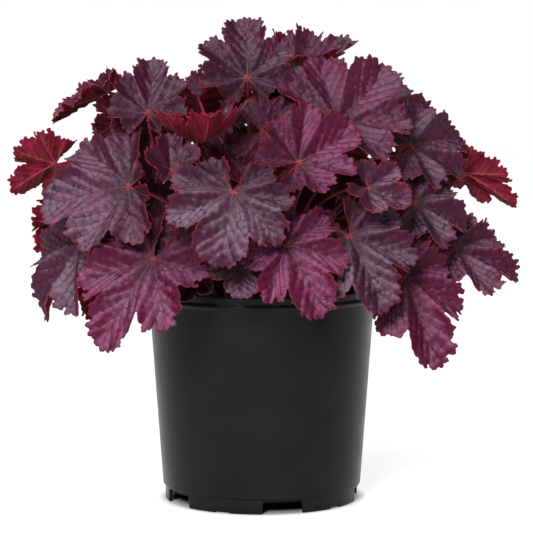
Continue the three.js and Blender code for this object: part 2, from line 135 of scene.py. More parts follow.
# the last ones, inside the plant
INNER_LEAVES = [
    [-37, 11, 321, -11, 15, -7, 40, 1.1, 1, 0.05, 0, 0.3, 0.5],
    [-82, -6, 250, 7, 24, -21, 38, 0.9, 1, 0.1, 0.1, 0.15, 0.3],
    [49, 1, 252, -32, 23, -97, 36, 1.05, 1, 0.1, 0, 0.3, 0.4],
    [32, -57, 319, -9, 18, -175, 34, 1.1, 1, 0, 0.1, 0.25, 0.3],
    [0, -75, 296, -6, 15, 66, 41, 1, 1, 0.05, 0, 0.2, 0.35],
    [-87, -31, 289, 15, 12, -52, 41, 1.05, 1, 0.15, 0.05, 0.25, 0.4],
]

BACK_SEED = 40
# count, from azimuth, to azimuth, away, stagger, height, length, elevation
BACK_TIERS = [
    [5, 110, 250, 130, 14, 202, 61, 30],
    [5, 98, 264, 116, 14, 262, 57, 38],
    [3, 114, 246, 82, 10, 319, 50, 54],
]

OLD_LOBES = {
    "edges": [-166, -116, -71, -28, 28, 71, 116, 166],
    "lengths": [0.6, 0.7, 0.83, 1, 0.83, 0.7, 0.6],
    "notches": [0.36, 0.5, 0.58, 0.63, 0.63, 0.58, 0.5, 0.36],
}
YOUNG_LOBES = {
    "edges": [-160, -98, -36, 36, 98, 160],
    "lengths": [0.66, 0.84, 1, 0.84, 0.66],
    "notches": [0.42, 0.56, 0.64, 0.64, 0.56, 0.42],
}
YOUNG_BELOW = 43  # a shorter blade has five lobes
EDGE_VARIES = 4  # degrees
LOBE_VARIES = 0.05
NOTCH_VARIES = 0.04
WAVE_HEIGHT = 0.05
NEARLY_FLAT = 1e-6  # the least bend, so that nothing is divided by zero
PLEAT = 0.035
# the foliage as a ball, which tells the leaves outside from those inside, for the painted shade inside
PLANT_MIDDLE = np.array([0, 0, 165])
PLANT_REACH = np.array([200, 165, 215])

PAINTED_LIGHT_FROM = np.array([-0.2, -0.7, 0.68])  # the way the painted light comes from: upper sides facing it turn silvery, the others painted shade
PAINTED_LIGHT_BELOW = 235  # mm, from where the higher a leaf stands, the less painted light it has
PAINTED_LIGHT_LOSS = 0.0014

# ---- the fine blade ----

# mm between the points of a blade, of a crease and of the margin
GRID_STEP, CREASE_STEP, MARGIN_STEP = 1.6, 1.15, 0.62
DELAUNAY_LEEWAY = 1e-3
BLADE_THICKNESS = 0.5
LOBE_POWER = 3.3  # how squarely a lobe is filled
BASE_BOW = 0.07  # of the blade's two edges that run from the joint, as a share of their length
# small lobes, teeth and fine teeth: width and depth as shares of the leaf's length, and their lean
TEETH = [(0.27, 0.050, 0.8), (0.105, 0.036, 0.8), (0.042, 0.008, 0.4)]
MAIN_VEIN_WIDTH, MAIN_VEIN_TAPER, SIDE_VEIN_WIDTH = 0.27, 0.10, 0.22
NOISE_APART = 37.0  # mm between two leaves in the noise that colours them
PUCKER = 6.0  # mm across a pucker
PUCKER_HEIGHT = 1.4
SOFTENING = 2  # rounds
LOBE_FOLD = 0.030  # how much further than in the part each lobe folds along its vein


def stream(seed):
    """The part's own repeatable draws, from 0 to 1."""
    state = (seed * 2654435761 + 12345) % 2**32
    while True:
        state = (state * 1664525 + 1013904223) % 2**32
        yield state / 2**32


def smoothstep(low, high, value):
    t = np.clip((value - low) / (high - low), 0, 1)
    return t * t * (3 - 2 * t)


class Leaf:
    """One row of the table with its drawn shape and its axes."""

    def __init__(self, number, row):
        x, y, z, azimuth, elevation, tip, self.length, self.width, base, *bend, self.flush = row
        self.cup, self.fold, self.droop = bend
        self.number = number
        self.at = np.array([x, y, z], float)
        self.rng = np.random.RandomState(number)
        self.draw_lobes(base)
        self.set_axes(*np.radians([azimuth, elevation, tip]))

    def draw_lobes(self, base):
        draw = stream(self.number).__next__
        plan = YOUNG_LOBES if self.length < YOUNG_BELOW else OLD_LOBES

        def jittered(values, amount):
            return np.array([v + (draw() * 2 - 1) * amount for v in values])

        def sized(values):
            return [values[0] * base, *values[1:-1], values[-1] * base]

        self.edges = jittered(plan["edges"], EDGE_VARIES)
        self.lobes = jittered(sized(plan["lengths"]), LOBE_VARIES)
        self.notches = jittered(sized(plan["notches"]), NOTCH_VARIES)
        self.waves = [(turns, WAVE_HEIGHT * draw(), FULL_TURN * draw()) for turns in (2, 3)]

    def set_axes(self, azimuth, elevation, tip):
        sin_a, cos_a = math.sin(azimuth), math.cos(azimuth)
        sin_e, cos_e = math.sin(elevation), math.cos(elevation)
        downhill = np.array([sin_a * sin_e, -cos_a * sin_e, -cos_e])
        level = np.array([cos_a, sin_a, 0])
        self.normal = np.array([sin_a * cos_e, -cos_a * cos_e, sin_e])
        self.to_tip = downhill * math.cos(tip) + level * math.sin(tip)
        self.across = np.cross(self.to_tip, self.normal)

    def lobe_span(self, lobe):
        """A lobe's middle and half its width, in degrees."""
        low, high = self.edges[lobe], self.edges[lobe + 1]
        return (low + high) / 2, (high - low) / 2

    def lobe_radius(self, lobe, place):
        """The smooth outline's radius at a place (-1 to 1) in a lobe, in lengths."""
        notch = np.where(place < 0, self.notches[lobe], self.notches[lobe + 1])
        return self.lobes[lobe] + (notch - self.lobes[lobe]) * np.abs(place) ** LOBE_POWER

    def outline(self, degrees):
        """The smooth outline at these angles: radius in lengths, and place in the lobe."""
        lobe = np.clip(np.searchsorted(self.edges, degrees) - 1, 0, len(self.lobes) - 1)
        middle, half = self.lobe_span(lobe)
        place = np.clip((degrees - middle) / half, -1, 1)
        return self.lobe_radius(lobe, place), place

    def plane(self, degrees, radius):
        """Points of the flat blade in mm, from an angle and a radius in lengths."""
        a = np.radians(degrees)
        return np.stack([radius * np.sin(a) * self.width, radius * np.cos(a)], -1) * self.length

    def polar(self, points):
        u, v = points[:, 0] / self.width, points[:, 1]
        return np.degrees(np.arctan2(u, v)), np.hypot(u, v) / self.length

    def lifted(self, points, height):
        """Flat points, raised by a height in mm, on the bent blade in the plant, in mm."""
        x, y, z = points[:, 0] / self.length, points[:, 1] / self.length, height / self.length
        curl = np.where(y > 0, self.droop, self.droop * 0.5)
        curl = np.where(np.abs(curl) < NEARLY_FLAT, NEARLY_FLAT, curl)
        a = curl * y
        along = np.sin(a) / curl + z * np.sin(a)
        up = z * np.cos(a) - (1 - np.cos(a)) / curl
        spread = np.outer(x, self.across) + np.outer(along, self.to_tip) + np.outer(up, self.normal)
        return self.at + spread * self.length


def back_rows():
    draw = stream(BACK_SEED).__next__

    def about(value, amount):
        return value + (draw() * 2 - 1) * amount

    rows = []
    for count, start, end, away, stagger, height, length, elevation in BACK_TIERS:
        for i in range(count):
            azimuth = start + (i + 0.5) * (end - start) / count + about(0, 4)
            a = math.radians(azimuth)
            out = (-1 if i % 2 else 1) * stagger
            reach = about(away, 3) + out
            row = [reach * math.sin(a), -reach * math.cos(a), about(height, 4) - out, azimuth]
            row += [about(elevation, 6), about(0, 25), about(length, 2), about(1, 0.08), 1]
            row += [about(0.05, 0.08), about(0.08, 0.06), about(0.3, 0.1), about(0.5, 0.4)]
            rows.append(row)
    return rows


# ---- outline with teeth ----


def unit(vectors):
    return vectors / (np.linalg.norm(vectors, axis=-1, keepdims=True) + TINY)


def left_of(vectors):
    return np.stack([-vectors[..., 1], vectors[..., 0]], -1)


def left_turn(first, second):
    """Twice the area between two flat vectors, above zero where the second lies to the left."""
    return first[:, 0] * second[:, 1] - first[:, 1] * second[:, 0]


def run_along(line):
    """How far along a line each of its points lies, in mm."""
    return np.concatenate([[0], np.cumsum(np.linalg.norm(np.diff(line, axis=0), axis=1))])


def points_at(line, run, at):
    return np.stack([np.interp(at, run, line[:, k]) for k in (0, 1)], -1)


def resampled(curve, values):
    """A curve and the values along it at even steps, with each point's run from its start."""
    run = run_along(curve)
    at = np.linspace(0, run[-1], max(8, int(round(run[-1] / MARGIN_STEP))) + 1)
    return points_at(curve, run, at), np.interp(at, run, values), at


def toothed(curve, leaf, tip_share, envelope):
    """Teeth of each size along a curve, which lean towards the place at tip_share of it."""
    for width, depth, leaning in TEETH:
        points, envelope, at = resampled(curve, envelope)
        total = at[-1]
        outward = left_of(unit(np.gradient(points, axis=0)))
        count = max(3, int(round(total / (width * leaf.length))))
        count += 1 - count % 2
        bounds = np.arange(count + 1, dtype=float)
        bounds[1:-1] += leaf.rng.uniform(-0.16, 0.16, count - 1)
        bounds *= total / count
        sizes = leaf.rng.uniform(0.7, 1.2, count)
        tooth = np.clip(np.searchsorted(bounds, at, side="right") - 1, 0, count - 1)
        t = np.clip((at - bounds[tooth]) / (bounds[tooth + 1] - bounds[tooth]), 0, 1)
        centre = (bounds[tooth] + bounds[tooth + 1]) / 2 / total
        lean = np.clip((tip_share - centre) * 4, -1, 1) * leaning
        power = 1 + 1.1 * np.abs(lean)
        t = np.where(lean > 0, t**power, 1 - (1 - t) ** power)
        height = sizes[tooth] * (1 - np.abs(2 * t - 1) ** 1.8) - 0.55
        curve = points + outward * (height * envelope * depth * leaf.length)[:, None]
    return curve


def base_edge(leaf, corner, hand):
    """One of the two edges between the joint and the outer lobes, from the joint."""
    t = np.linspace(0, 1, 60)[:, None]
    bow = left_of(corner) * BASE_BOW * hand
    return corner * t + bow * np.sin(np.pi * t), (t[:, 0] > 0.35) * t[:, 0] * 0.6


def margin_of(leaf):
    """The blade's outline in mm, closed, from the joint round to the joint."""
    count = len(leaf.lobes)
    line, envelope = base_edge(leaf, leaf.plane(leaf.edges[0], leaf.notches[0]), -1)
    first = toothed(line, leaf, 1.5, envelope)
    line, envelope = base_edge(leaf, leaf.plane(leaf.edges[count], leaf.notches[count]), 1)
    last = toothed(line[::-1], leaf, -0.5, envelope[::-1])
    parts = [np.zeros((1, 2)), first[1:-1]]
    for lobe in range(count):
        place = np.linspace(-1, 1, 241)
        middle, half = leaf.lobe_span(lobe)
        shoulder = leaf.rng.uniform(0.38, 0.5)
        radius = leaf.lobe_radius(lobe, place)
        radius -= 0.04 * np.exp(-(((np.abs(place) - shoulder) / 0.08) ** 2))
        envelope = np.clip((1 - np.abs(place)) / 0.25, 0.25, 1)
        parts.append(toothed(leaf.plane(middle + place * half, radius), leaf, 0.5, envelope)[:-1])
    parts.append(last[:-1])
    return np.concatenate(parts)


# ---- veins ----

# start on the main vein, where it ends in the lobe, and how far out, as shares
BRANCHES = [(0.28, 0.88, 0.86), (0.44, 0.68, 0.93), (0.6, 0.44, 0.95), (0.77, 0.22, 0.96)]
VEIN_BEND = 0.1


def vein_lines(leaf):
    """Main veins from the joint to each lobe's tip, and their side veins, as polylines in mm."""
    main, side = [], []
    for lobe, reach in enumerate(leaf.lobes):
        middle, half = leaf.lobe_span(lobe)
        tip = leaf.plane(middle + leaf.rng.uniform(-2, 2), reach * 0.95)
        count = max(4, int(round(np.linalg.norm(tip) / GRID_STEP)))
        t = np.linspace(0, 1, count + 1)[:, None]
        sway = left_of(tip) * leaf.rng.uniform(-0.03, 0.03)
        line = tip * t + sway * np.sin(np.pi * t)
        main.append(line)
        for start, place, out in BRANCHES:
            for hand in (-1, 1):
                start_at = start + leaf.rng.uniform(-0.04, 0.04) + 0.02 * hand
                origin = line[int(round(start_at * count))]
                end_place = hand * np.clip(place + leaf.rng.uniform(-0.04, 0.04), 0, 0.93)
                degrees = middle + end_place * half
                end = leaf.plane(degrees, leaf.outline(degrees)[0] * out)
                side.append(bowed(origin, end, tip))
    return main, side


def curved(start, corner, end, steps):
    """Points on a curve that leaves towards the corner and arrives from it."""
    t = np.linspace(0, 1, steps)[:, None]
    return start * (1 - t) ** 2 + corner * 2 * t * (1 - t) + end * t * t


def bowed(origin, end, tip):
    reach = np.linalg.norm(end - origin)
    control = (origin + end) / 2 + unit(tip) * reach * VEIN_BEND
    return curved(origin, control, end, max(3, int(round(reach / GRID_STEP))) + 1)


def distance_to(points, lines):
    """Each point's distance to the nearest of these polylines, in mm."""
    starts = np.concatenate([line[:-1] for line in lines])
    ends = np.concatenate([line[1:] for line in lines])
    span = ends - starts
    square = np.maximum((span**2).sum(1), TINY)
    best = np.full(len(points), FAR)
    for low in range(0, len(starts), 64):
        cut = slice(low, low + 64)
        offset = points[:, None, :] - starts[None, cut]
        t = np.clip((offset * span[None, cut]).sum(2) / square[None, cut], 0, 1)
        gap = offset - t[..., None] * span[None, cut]
        best = np.minimum(best, (gap**2).sum(2).min(1))
    return np.sqrt(best)


def inside(points, polygon):
    """The points that lie in the polygon."""
    result = np.zeros(len(points), bool)
    ends = np.roll(polygon, -1, axis=0)
    x, y = points[:, 0], points[:, 1]
    for (x0, y0), (x1, y1) in zip(polygon, ends):
        if y0 == y1:
            continue
        crosses = (y0 > y) != (y1 > y)
        result ^= crosses & (x < (x1 - x0) * (y - y0) / (y1 - y0) + x0)
    return points[result]


# ---- blade mesh ----


def staggered(low, high, step):
    """The points of a triangular grid over a box."""
    rows = []
    for i, y in enumerate(np.arange(low[1], high[1], step * math.sqrt(0.75))):
        xs = np.arange(low[0], high[0], step) + (i % 2) * step / 2
        rows.append(np.column_stack([xs, np.full(len(xs), y)]))
    return np.concatenate(rows)


def clear_of(points, lines, gap):
    return points[distance_to(points, lines) > gap]


def triangulated(leaf):
    """The flat blade: its points in mm, its triangles, its margin, veins and creases."""
    margin = margin_of(leaf)
    main, side = vein_lines(leaf)
    veins = [*main, *side]
    closed = np.concatenate([margin, margin[:1]])
    grid = staggered(margin.min(0), margin.max(0), GRID_STEP)
    grid += leaf.rng.uniform(-0.15, 0.15, grid.shape) * GRID_STEP
    middles = pucker_middles(leaf, veins)
    lines = creases(middles)
    lines = lines[distance_to(lines.mean(1), veins) > PUCKER * 0.2]
    drawn = [closed, *veins]
    net = clear_of(inside(crease_points(lines), margin), drawn, CREASE_STEP * 0.5)
    drawn += [*lines]
    tops = clear_of(inside(middles, margin), drawn, GRID_STEP * 0.3)
    grid = clear_of(inside(grid, margin), drawn, GRID_STEP * 0.45)
    grid = clear_of(grid, [np.array([top, top]) for top in tops], GRID_STEP * 0.6)
    count = len(margin)
    edges = [(i, (i + 1) % count) for i in range(count)]
    for line in veins:
        edges += [(count + i, count + i + 1) for i in range(len(line) - 1)]
        count += len(line)
    points = np.concatenate([margin, *veins, net, tops, grid])
    found = delaunay_2d_cdt([Vector(p) for p in points], edges, [], 1, DELAUNAY_LEEWAY)
    flat = np.array([tuple(v) for v in found[0]])
    faces = np.array([f for f in found[2] if len(f) == 3], int)
    a, b, c = flat[faces.T]
    clockwise = left_turn(b - a, c - a) < 0
    faces = np.where(clockwise[:, None], faces[:, ::-1], faces)
    used = np.unique(faces)
    index = np.full(len(flat), -1)
    index[used] = np.arange(len(used))
    return flat[used], index[faces], closed, main, side, lines


def pucker_middles(leaf, veins):
    """Middles of the puckers: in a row along both sides of each vein, and evenly in between."""
    rows = []
    for line in veins:
        run = run_along(line)
        at = np.arange(PUCKER * 0.6, run[-1], PUCKER) + leaf.rng.uniform(-0.8, 0.8)
        points = points_at(line, run, at)
        aside = unit(left_of(line[-1] - line[0])) * PUCKER * 0.5
        rows += [points + aside, points - aside]
    beside_veins = sum(len(row) for row in rows)
    reach = leaf.length * 1.25
    wanted = np.concatenate([*rows, staggered((-reach, -reach), (reach, reach), PUCKER)])
    loose = np.where(np.arange(len(wanted)) < beside_veins, 0.18, 0.32)[:, None]
    wanted += leaf.rng.uniform(-1, 1, wanted.shape) * loose * PUCKER
    kept = np.full((len(wanted), 2), FAR)
    count = 0
    for point in wanted:
        if count == 0 or ((kept[:count] - point) ** 2).sum(1).min() > (0.62 * PUCKER) ** 2:
            kept[count] = point
            count += 1
    return kept[:count]


def creases(middles):
    """The lines halfway between neighbouring middles, as segments in mm."""
    found = delaunay_2d_cdt([Vector(m) for m in middles], [], [], 0, DELAUNAY_LEEWAY)
    corners = np.array([tuple(v) for v in found[0]])
    faces = np.array(found[2], int)
    a, b, c = corners[faces.T]
    ab, ac = b - a, c - a
    twice = 2 * left_turn(ab, ac)
    ab_square, ac_square = (ab**2).sum(1), (ac**2).sum(1)
    x = (ac[:, 1] * ab_square - ab[:, 1] * ac_square) / twice
    y = (ab[:, 0] * ac_square - ac[:, 0] * ab_square) / twice
    centres = a + np.column_stack([x, y])
    sides = np.sort(directed_edges(faces), axis=1)
    key = sides @ [len(corners), 1]
    order = np.argsort(key, kind="stable")
    pairs = np.nonzero(key[order][1:] == key[order][:-1])[0]
    first, second = order[pairs] % len(faces), order[pairs + 1] % len(faces)
    lines = np.stack([centres[first], centres[second]], 1)
    return lines[np.linalg.norm(lines[:, 1] - lines[:, 0], axis=1) < 3 * PUCKER]


def directed_edges(faces):
    return np.concatenate([faces[:, [0, 1]], faces[:, [1, 2]], faces[:, [2, 0]]])


def crease_points(lines):
    points = []
    for start, end in lines:
        count = max(1, int(round(np.linalg.norm(end - start) / CREASE_STEP)))
        t = np.linspace(0, 1, count + 1)[:, None]
        points.append(start * (1 - t) + end * t)
    return np.unique(np.round(np.concatenate(points), 3), axis=0)


def blade_height(leaf, points, main_gap, side_gap, crease_gap, edge_gap):
    """How high the blade stands over its flat plane, in mm, with veins sunk and puckers lifted."""
    degrees, radius = leaf.polar(points)
    limit, place = leaf.outline(degrees)
    share = np.clip(radius / limit, 0, 1.08)
    across = np.abs(points[:, 0]) / leaf.length
    soft = np.sqrt(across**2 + 0.03**2) - 0.03
    form = leaf.cup * radius**2 + leaf.fold * soft - PLEAT * share * np.cos(np.pi * place)
    for turns, height, phase in leaf.waves:
        form += height * share**2 * np.sin(turns * np.radians(degrees) + phase)
    form -= LOBE_FOLD * share * (np.cos(np.pi * place) - 0.4)
    vein_gap = np.minimum(main_gap * 0.8, side_gap)
    inner = smoothstep(2, 14, radius * leaf.length)
    pillow = 1.2 * inner * (1 - np.exp(-vein_gap / 3.5))
    rise = np.clip(np.minimum(crease_gap, side_gap) / (0.46 * PUCKER), 0, 1)
    pucker = PUCKER_HEIGHT * inner * (1 - (1 - rise) ** 2)
    pucker *= 0.3 + 0.7 * smoothstep(0, 5, edge_gap)
    pucker *= np.clip(0.85 + 0.7 * grain(points, leaf.number, [(17, 1)]), 0.35, 1.35)
    groove = -0.35 * np.exp(-((main_gap / 0.9) ** 2)) * inner
    phase = leaf.rng.uniform(0, FULL_TURN, 3)
    a = np.radians(degrees)
    ruffle = sum(np.sin(k * a + p) for k, p in zip((11, 17, 27), phase)) / 3
    ruffle *= 0.034 * leaf.length * smoothstep(0.6, 1.05, share)
    curl = smoothstep(0.62, 1, np.abs(place)) * smoothstep(0.6, 1, share)
    lift = (np.sin(3 * a + phase[0]) * 0.5 + 0.8) * (1 - max(0, leaf.cup))
    curl *= lift * 0.055 * leaf.length
    rolled = -0.5 * np.exp(-((edge_gap / 1.2) ** 2)) * inner
    return form * leaf.length + pillow + pucker + groove + ruffle + curl + rolled


def unit_sums(faces, vectors, count):
    """At each point the direction of the sum of its triangles' vectors."""
    total = np.zeros((count, 3))
    for k in range(3):
        np.add.at(total, faces[:, k], vectors)
    return unit(total)


def vertex_normals(points, faces):
    a, b, c = points[faces.T]
    return unit_sums(faces, np.cross(b - a, c - a), len(points))


def softened(normals, faces):
    """Normals averaged with their neighbours', which follow the folds more than the puckers."""
    for _ in range(SOFTENING):
        normals = unit_sums(faces, normals[faces].sum(1), len(normals))
    return normals


def open_edges(faces):
    """Directed edges that only one triangle has."""
    directed, size = directed_edges(faces), faces.max() + 1
    return directed[~np.isin(directed @ [size, 1], directed @ [1, size])]


def blade(leaf):
    """Vertices in mm, triangles, material numbers and attributes of a blade with two faces."""
    flat, faces, margin, main, side, lines = triangulated(leaf)
    main_gap, side_gap = distance_to(flat, main), distance_to(flat, side)
    crease_gap, edge_gap = distance_to(flat, lines), distance_to(flat, [margin])
    height = blade_height(leaf, flat, main_gap, side_gap, crease_gap, edge_gap)
    middle = leaf.lifted(flat, height)
    normals = vertex_normals(middle, faces)
    degrees, radius = leaf.polar(flat)
    share = radius / leaf.outline(degrees)[0]
    rib = 0.5 * np.exp(-((main_gap / 0.7) ** 2)) * np.clip(1.1 - share, 0.2, 1)
    rib += 0.15 * np.exp(-((side_gap / 0.6) ** 2)) * np.clip(edge_gap / 3, 0, 1)
    upper = middle + normals * BLADE_THICKNESS / 2
    lower = middle - normals * (BLADE_THICKNESS / 2 + rib)[:, None]
    count = len(flat)
    a, b = open_edges(faces).T
    walls = np.concatenate([np.stack([b, a, a + count], 1), np.stack([b, a + count, b + count], 1)])
    triangles = np.concatenate([faces, faces[:, ::-1] + count, walls])
    materials = np.repeat([0, 1, 2], [len(faces), len(faces), len(walls)])
    # painted light: how squarely each point's softened normal faces a fixed light direction
    facing_painted_light = softened(normals, faces) @ PAINTED_LIGHT_FROM
    facts = {
        "main_vein": main_gap / (MAIN_VEIN_WIDTH - MAIN_VEIN_TAPER * np.clip(share, 0, 1)),
        "side_vein": side_gap / SIDE_VEIN_WIDTH,
        "pucker": np.minimum(crease_gap, side_gap),
        "edge": edge_gap,
        "share": share,
        "tipward": share * np.cos(np.radians(degrees)),
        "flush": np.full(count, leaf.flush),
        "lit": facing_painted_light - PAINTED_LIGHT_LOSS * np.maximum(0, middle[:, 2] - PAINTED_LIGHT_BELOW),
        "plane": np.column_stack([flat, np.full(count, leaf.number * NOISE_APART)]),
    }
    facts = {name: np.concatenate([values, values]) for name, values in facts.items()}
    return np.concatenate([upper, lower]), triangles, materials, facts


# ---- petioles ----


def crown_height(radius):
    share = np.minimum(1, radius / CROWN_RADIUS)
    return CROWN_TOP - (CROWN_TOP - MIX_CREST) * share * share


def crown_sites():
    """Places on the crown where petioles can stand: a triangular grid."""
    rows = math.ceil(CROWN_RADIUS / SITE_SPACING) + 1
    sites = []
    for row in range(-rows, rows + 1):
        for column in range(-rows, rows + 1):
            x = (column + (0 if row % 2 == 0 else 0.5)) * SITE_SPACING
            y = row * SITE_SPACING * math.sqrt(0.75)
            if math.hypot(x, y) < CROWN_RADIUS - 4:
                sites.append((x, y))
    return sites


def petiole_path(leaf, sites):
    """A Bezier curve from the nearest free site to the blade's joint."""
    away = math.hypot(leaf.at[0], leaf.at[1])
    lean = math.atan2(away, leaf.at[2] - MIX_CREST)
    wanted = leaf.at[:2] / away * CROWN_RADIUS * min(1, 0.9 * math.sin(lean / 2) * math.sqrt(2))
    site = min(sites, key=lambda s: math.hypot(s[0] - wanted[0], s[1] - wanted[1]))
    sites.remove(site)
    start = np.array([*site, crown_height(math.hypot(*site)) - PETIOLE_SUNK])
    outward = np.array([*(leaf.at[:2] / away), 0])
    reach = np.linalg.norm(leaf.at - start)
    first = outward * math.sin(lean * 0.45) + np.array([0, 0, math.cos(lean * 0.45)])
    arrival = unit(leaf.normal * 0.5 + leaf.to_tip * 0.6)
    end = leaf.at - leaf.normal * 0.4
    handles = [start, start + first * reach * 0.4, end - arrival * reach * 0.3, end]
    t = np.linspace(0, 1, STALK_STEPS)[:, None]
    weights = [(1 - t) ** 3, 3 * t * (1 - t) ** 2, 3 * t * t * (1 - t), t**3]
    return sum(w * h for w, h in zip(weights, handles))


def tube(path, radii, seed):
    """A closed, slightly ridged tube along a path: vertices and triangles."""
    tangent = unit(np.gradient(path, axis=0))
    side = unit(np.cross(tangent, OFF_STALK))
    other = np.cross(tangent, side)
    turn = np.linspace(0, FULL_TURN, STALK_SIDES, endpoint=False)
    ridged = 1 + 0.06 * np.sin(3 * turn + np.random.RandomState(seed).uniform(0, 6))
    rings = side[:, None] * np.cos(turn)[None, :, None] + other[:, None] * np.sin(turn)[None, :, None]
    points = path[:, None] + rings * (radii[:, None] * ridged[None])[..., None]
    points = np.concatenate([points.reshape(-1, 3), path[:1], path[-1:]])
    low, high = len(points) - 2, len(points) - 1
    faces = [face[::-1] for face in ring_faces(len(path), STALK_SIDES)]
    faces += fan(low, 0, STALK_SIDES, -1) + fan(high, low - STALK_SIDES, STALK_SIDES)
    return points, np.array(faces)


# ---- meshes and pieces ----


def make_mesh(name, points, triangles, materials, numbers=0, flat_number=None):
    """A mesh object in metres, from vertices in mm, triangles and their materials' numbers."""
    mesh = bpy.data.meshes.new(name)
    mesh.from_pydata(np.asarray(points) * MM, [], np.asarray(triangles).tolist())
    numbers = np.broadcast_to(numbers, len(triangles))
    mesh.polygons.foreach_set("material_index", numbers.astype(np.int32))
    mesh.polygons.foreach_set("use_smooth", numbers != flat_number)
    for material in materials:
        mesh.materials.append(material)
    mesh.validate()
    piece = bpy.data.objects.new(name, mesh)
    bpy.context.scene.collection.objects.link(piece)
    return piece


def add_fact(piece, name, values):
    """An attribute for the materials: a number, or a vector, for each vertex."""
    values = np.asarray(values, np.float32)
    kind, field = ("FLOAT", "value") if values.ndim == 1 else ("FLOAT_VECTOR", "vector")
    piece.data.attributes.new(name, kind, "POINT").data.foreach_set(field, values.ravel())


def dress(piece, node):
    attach(piece, "root")
    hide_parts(node)


# a stalk is far from every vein, crease and edge
STALK_FACTS = {"main_vein": 99, "side_vein": 99, "pucker": 9, "edge": 9, "share": 0, "tipward": 0, "lit": 0}


def make_leaf(leaf, sites, materials):
    along = np.linspace(0, 1, STALK_STEPS)
    thick = min(1, 0.72 + leaf.length / 220)
    radii = PETIOLE_RADIUS * thick * (1 - 0.25 * along + 0.35 * np.exp(-along * 14))
    stalk, stalk_faces = tube(petiole_path(leaf, sites), radii, leaf.number)
    points, triangles, numbers, facts = blade(leaf)
    triangles = np.concatenate([triangles, stalk_faces + len(points)])
    numbers = np.concatenate([numbers, np.full(len(stalk_faces), 3)])
    points = np.concatenate([points, stalk])
    name = f"heuchera_leaf_{leaf.number:02d}"
    piece = make_mesh(name, points, triangles, materials, numbers, flat_number=2)
    add_fact(piece, "open", np.linalg.norm((points - PLANT_MIDDLE) / PLANT_REACH, axis=1))
    on_stalk = {**STALK_FACTS, "flush": leaf.flush}
    for fact, values in facts.items():
        rest = stalk if fact == "plane" else np.full(len(stalk), on_stalk[fact])
        add_fact(piece, fact, np.concatenate([values, rest]))
    dress(piece, f"leaf_{leaf.number:02d}")


# ---- turned pieces ----


def revolved(name, rows, angles, materials):
    """A closed turned solid. rows(angle) gives the profile's points (radius, height) at an angle."""
    radius, height = np.array([rows(angle)[::-1] for angle in angles]).T
    points = np.stack([radius * np.cos(angles), radius * np.sin(angles), height], -1)
    # the axis points at both ends are one vertex each
    points, faces = merged(points.reshape(-1, 3), np.array(ring_faces(len(points), len(angles))))
    return make_mesh(name, points, faces, materials)


def merged(points, faces):
    keys, index = np.unique(np.round(points, 4), axis=0, return_inverse=True)
    faces = index.ravel()[faces]
    return keys, faces[(faces != np.roll(faces, 1, axis=1)).all(1)]


def rounded(corner_list, radius_list):
    """A profile through corners, each rounded by its radius."""
    corners = [np.array(c, float) for c in corner_list]
    result = [corners[0]]
    for before, corner, after, radius in zip(corners, corners[1:], corners[2:], radius_list):
        cut = min(radius, math.dist(before, corner) * 0.45, math.dist(after, corner) * 0.45)
        start, end = corner + unit(before - corner) * cut, corner + unit(after - corner) * cut
        result.extend(curved(start, corner, end, 5))
    result.append(corners[-1])
    return result


# in the foot ring: degrees from the first notch, width in degrees, height
FOOT_CUTS = [(0, NOTCH_WIDTH, NOTCH_HEIGHT), (180 / NOTCH_COUNT, SLIT_WIDTH, SLIT_HEIGHT)]


def foot_bottom(degrees):
    """Height of the foot ring's lower edge at an angle: notches, slits and their rounded sides."""
    step = 360 / NOTCH_COUNT
    lowest = 0.0
    for offset, width, height in FOOT_CUTS:
        from_centre = abs((degrees - NOTCH_FIRST + 90 - offset + step / 2) % step - step / 2)
        inside_by = (width / 2 - from_centre) * math.radians(1) * FOOT_RADIUS
        lowest = max(lowest, height * float(smoothstep(-0.7, 0.7, inside_by)))
    return lowest


def pot_angles():
    """Angles that follow the sides of the notches closely and the rest evenly."""
    degrees = list(np.arange(0, 360, 1.5))
    for i in range(NOTCH_COUNT):
        for offset, width, _ in FOOT_CUTS:
            centre = NOTCH_FIRST - 90 + i * 360 / NOTCH_COUNT + offset
            for hand in (-1, 1):
                degrees += [(centre + hand * width / 2 + shift) % 360 for shift in CUT_SIDE]
    return np.radians(np.unique(np.round(degrees, 4)))


def wall_radius(height):
    return FOOT_RADIUS + (POT_RIM_RADIUS - FOOT_RADIUS) * (height - FOOT_HEIGHT) / (POT_HEIGHT - FOOT_HEIGHT)


